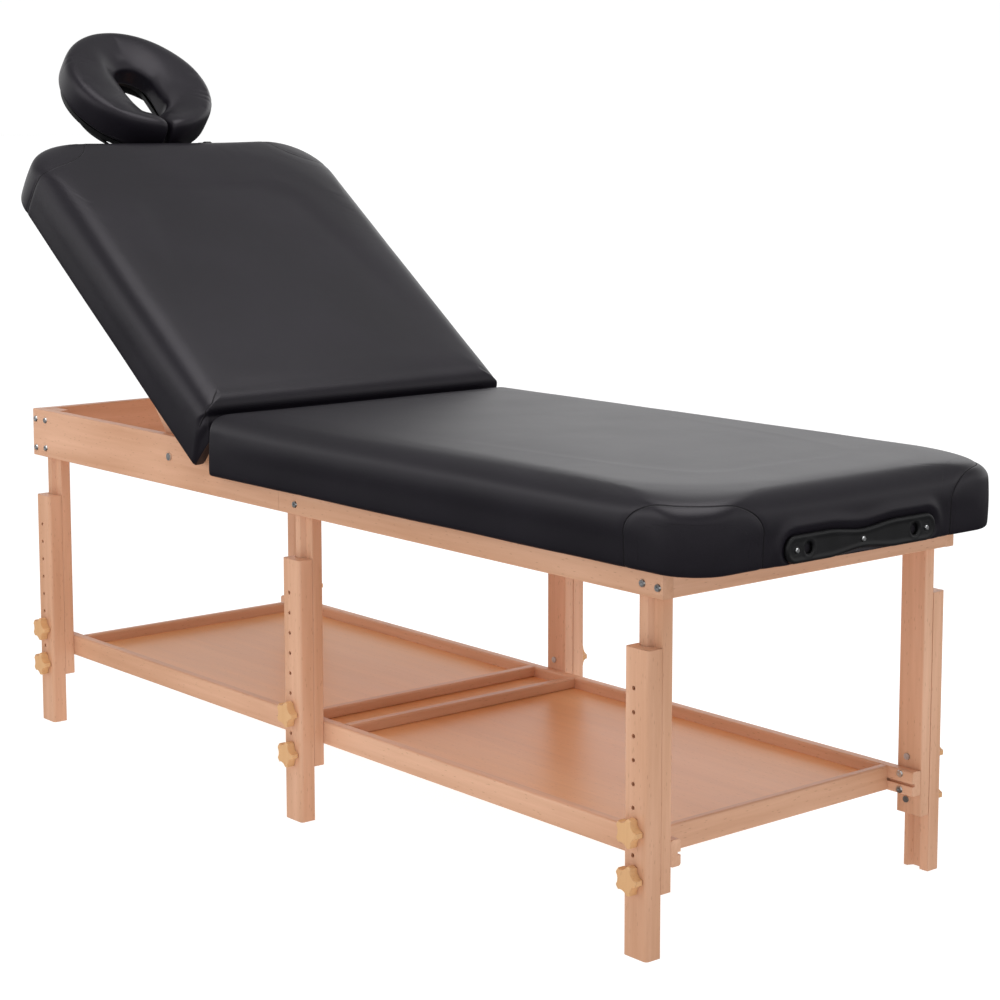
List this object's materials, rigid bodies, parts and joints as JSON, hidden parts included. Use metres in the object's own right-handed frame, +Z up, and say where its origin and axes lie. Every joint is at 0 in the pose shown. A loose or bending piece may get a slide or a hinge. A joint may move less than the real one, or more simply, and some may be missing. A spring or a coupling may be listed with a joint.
{
  "type": "massage table",
  "caption": "Wooden massage table on telescopic legs with star knobs, storage trays, padded seat, hinged padded backrest and a plug-in face-ring headrest.",
  "frame": {"origin": "on the floor, under the middle of the whole table", "axes": "+X along the table to the foot end, +Y across it to the rear side, +Z up"},
  "size_m": [2.1842, 0.694, 1.4047],
  "materials": {
    "beech": "satin varnish",
    "plywood": "satin varnish",
    "knob_wood": "satin varnish",
    "vinyl": "soft satin grain",
    "black_plastic": "matte",
    "steel": "satin"
  },
  "bodies": {
    "frame": {"side_rail_head_front": "beech", "side_rail_head_rear": "beech", "side_rail_foot_front": "beech", "side_rail_foot_rear": "beech", "end_rail_head": "beech", "end_rail_foot": "beech", "hinge_rail": "beech", "rail_splices": "beech", "frame_screws": "steel", "clamp_bolts": "steel", "upper_legs_front": "beech", "upper_legs_rear": "beech", "tray_sides_head": "beech", "tray_sides_foot": "beech", "tray_ends_head": "beech", "tray_ends_foot": "beech", "tray_floor_head": "plywood", "tray_floor_foot": "plywood", "seat_board": "plywood", "seat_aprons": "beech", "seat_cushion": "vinyl", "seat_sockets": "black_plastic", "seat_socket_plate": "black_plastic", "seat_hinge_leaves": "steel", "hinge_pins": "steel"},
    "backrest": {"back_board": "plywood", "back_aprons": "beech", "back_cushion": "vinyl", "back_sockets": "black_plastic", "back_socket_plate": "black_plastic", "back_screws": "steel", "back_racks": "beech", "back_hinge_leaves": "steel"},
    "prop": {"prop_arms": "beech", "prop_bar": "steel"},
    "headrest": {"headrest_rods": "steel", "headrest_base": "black_plastic", "headrest_axle": "steel"},
    "face_ring": {"headrest_platform": "black_plastic", "headrest_cushion": "vinyl"},
    "lever": {"headrest_lever": "black_plastic"},
    "lower_leg_head_front": {"lower_leg_head_front": "beech"},
    "lower_leg_head_rear": {"lower_leg_head_rear": "beech"},
    "lower_leg_middle_front": {"lower_leg_middle_front": "beech"},
    "lower_leg_middle_rear": {"lower_leg_middle_rear": "beech"},
    "lower_leg_foot_front": {"lower_leg_foot_front": "beech"},
    "lower_leg_foot_rear": {"lower_leg_foot_rear": "beech"},
    "knob_head_front_upper": {"knob_head_front_upper": "knob_wood"},
    "knob_head_front_lower": {"knob_head_front_lower": "knob_wood"},
    "knob_head_rear_upper": {"knob_head_rear_upper": "knob_wood"},
    "knob_head_rear_lower": {"knob_head_rear_lower": "knob_wood"},
    "knob_middle_front_upper": {"knob_middle_front_upper": "knob_wood"},
    "knob_middle_front_lower": {"knob_middle_front_lower": "knob_wood"},
    "knob_middle_rear_upper": {"knob_middle_rear_upper": "knob_wood"},
    "knob_middle_rear_lower": {"knob_middle_rear_lower": "knob_wood"},
    "knob_foot_front_upper": {"knob_foot_front_upper": "knob_wood"},
    "knob_foot_front_lower": {"knob_foot_front_lower": "knob_wood"},
    "knob_foot_rear_upper": {"knob_foot_rear_upper": "knob_wood"},
    "knob_foot_rear_lower": {"knob_foot_rear_lower": "knob_wood"}
  },
  "joints": [
    {"name": "back_hinge", "type": "hinge", "parent": "frame", "child": "backrest", "pos_m": [-0.16248, 0, 0.634], "axis": [0, 1, 0], "range_deg": [-36, 12]},
    {"name": "prop_fold", "type": "hinge", "parent": "frame", "child": "prop", "pos_m": [-0.31648, 0, 0.5946], "axis": [0, 1, 0], "range_deg": [-49.5, 16.5]},
    {"name": "headrest_slide", "type": "slide", "parent": "backrest", "child": "headrest", "axis": [-0.809, 0, 0.5878], "range_m": [0, 0.06]},
    {"name": "headrest_tilt", "type": "hinge", "parent": "headrest", "child": "face_ring", "pos_m": [-0.88963, 0, 1.15242], "axis": [0, 1, 0], "range_deg": [-25, 6]},
    {"name": "lever_turn", "type": "hinge", "parent": "headrest", "child": "lever", "pos_m": [-0.88963, 0, 1.15242], "axis": [0, 1, 0], "range_deg": [0, 90]},
    {"name": "lower_leg_head_front_slide", "type": "slide", "parent": "frame", "child": "lower_leg_head_front", "axis": [0, 0, -1], "range_m": [0, 0.2136]},
    {"name": "lower_leg_head_rear_slide", "type": "slide", "parent": "frame", "child": "lower_leg_head_rear", "axis": [0, 0, -1], "range_m": [0, 0.2136]},
    {"name": "lower_leg_middle_front_slide", "type": "slide", "parent": "frame", "child": "lower_leg_middle_front", "axis": [0, 0, -1], "range_m": [0, 0.2136]},
    {"name": "lower_leg_middle_rear_slide", "type": "slide", "parent": "frame", "child": "lower_leg_middle_rear", "axis": [0, 0, -1], "range_m": [0, 0.2136]},
    {"name": "lower_leg_foot_front_slide", "type": "slide", "parent": "frame", "child": "lower_leg_foot_front", "axis": [0, 0, -1], "range_m": [0, 0.2136]},
    {"name": "lower_leg_foot_rear_slide", "type": "slide", "parent": "frame", "child": "lower_leg_foot_rear", "axis": [0, 0, -1], "range_m": [0, 0.2136]},
    {"name": "knob_head_front_upper_turn", "type": "hinge", "parent": "frame", "child": "knob_head_front_upper", "pos_m": [-0.79048, -0.3371, 0.1902], "axis": [0, 1, 0], "continuous": true},
    {"name": "knob_head_front_lower_turn", "type": "hinge", "parent": "frame", "child": "knob_head_front_lower", "pos_m": [-0.79048, -0.3371, 0.119], "axis": [0, 1, 0], "continuous": true},
    {"name": "knob_head_rear_upper_turn", "type": "hinge", "parent": "frame", "child": "knob_head_rear_upper", "pos_m": [-0.79048, 0.3371, 0.1902], "axis": [0, 1, 0], "continuous": true},
    {"name": "knob_head_rear_lower_turn", "type": "hinge", "parent": "frame", "child": "knob_head_rear_lower", "pos_m": [-0.79048, 0.3371, 0.119], "axis": [0, 1, 0], "continuous": true},
    {"name": "knob_middle_front_upper_turn", "type": "hinge", "parent": "frame", "child": "knob_middle_front_upper", "pos_m": [0.07852, -0.3371, 0.1902], "axis": [0, 1, 0], "continuous": true},
    {"name": "knob_middle_front_lower_turn", "type": "hinge", "parent": "frame", "child": "knob_middle_front_lower", "pos_m": [0.07852, -0.3371, 0.119], "axis": [0, 1, 0], "continuous": true},
    {"name": "knob_middle_rear_upper_turn", "type": "hinge", "parent": "frame", "child": "knob_middle_rear_upper", "pos_m": [0.07852, 0.3371, 0.1902], "axis": [0, 1, 0], "continuous": true},
    {"name": "knob_middle_rear_lower_turn", "type": "hinge", "parent": "frame", "child": "knob_middle_rear_lower", "pos_m": [0.07852, 0.3371, 0.119], "axis": [0, 1, 0], "continuous": true},
    {"name": "knob_foot_front_upper_turn", "type": "hinge", "parent": "frame", "child": "knob_foot_front_upper", "pos_m": [0.94752, -0.3371, 0.1902], "axis": [0, 1, 0], "continuous": true},
    {"name": "knob_foot_front_lower_turn", "type": "hinge", "parent": "frame", "child": "knob_foot_front_lower", "pos_m": [0.94752, -0.3371, 0.119], "axis": [0, 1, 0], "continuous": true},
    {"name": "knob_foot_rear_upper_turn", "type": "hinge", "parent": "frame", "child": "knob_foot_rear_upper", "pos_m": [0.94752, 0.3371, 0.1902], "axis": [0, 1, 0], "continuous": true},
    {"name": "knob_foot_rear_lower_turn", "type": "hinge", "parent": "frame", "child": "knob_foot_rear_lower", "pos_m": [0.94752, 0.3371, 0.119], "axis": [0, 1, 0], "continuous": true}
  ],
  "couplings": [
    {"joint": "prop_fold", "follows": "back_hinge", "ratio": 1.37}
  ]
}
